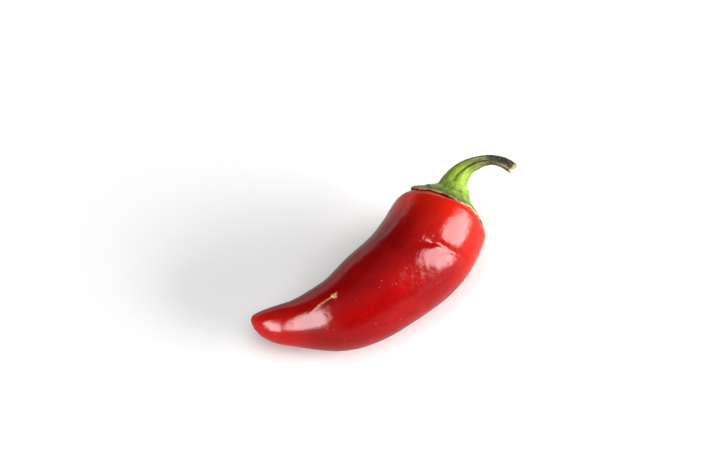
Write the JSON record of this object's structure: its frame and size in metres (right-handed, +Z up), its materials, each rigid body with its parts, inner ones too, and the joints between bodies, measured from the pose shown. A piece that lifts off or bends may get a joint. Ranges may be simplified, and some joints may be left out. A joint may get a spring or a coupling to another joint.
{
  "type": "chilli pepper",
  "caption": "Whole red chilli pepper lying on its side: a glossy curved pod tapering to a blunt tip, with a green lobed calyx and a hooked stem.",
  "frame": {"origin": "on the surface that the pepper lies on, under the middle of its bounding box", "axes": "+X along the pepper's longest extent, from the tip towards the stem; +Y to the left of that; +Z up, away from the surface"},
  "size_m": [0.102, 0.0418, 0.0334],
  "materials": {
    "pod": "glossy waxy skin, bright red",
    "calyx": "matte olive green leaf tissue with a dry rim",
    "stem": "satin ribbed green stalk that browns towards its cut end"
  },
  "bodies": {
    "root": {"pod": "pod", "calyx": "calyx", "stem": "stem"}
  },
  "joints": []
}
